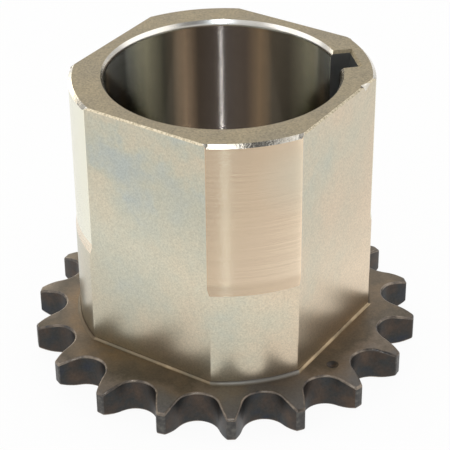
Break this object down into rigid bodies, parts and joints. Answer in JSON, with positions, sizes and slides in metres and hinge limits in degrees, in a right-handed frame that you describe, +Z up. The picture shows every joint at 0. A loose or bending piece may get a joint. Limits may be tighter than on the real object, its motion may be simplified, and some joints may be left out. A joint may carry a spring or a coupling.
{
  "type": "crankshaft sprocket",
  "caption": "Keyed crankshaft timing sprocket: a toothed plate for a roller chain under a tall hub with driving flats, ground arcs and a chamfered bore.",
  "frame": {"origin": "centre of the toothed plate's back face, on the bore axis", "axes": "+Z up the bore from the plate to the top of the hub, +X through the middle of the keyway"},
  "size_m": [0.058, 0.0572, 0.0439],
  "materials": {
    "sintered_steel": "matte sintered steel with ground arcs and a heat-tinted toothed plate"
  },
  "bodies": {
    "root": {"crank_sprocket": "sintered_steel"}
  },
  "joints": []
}
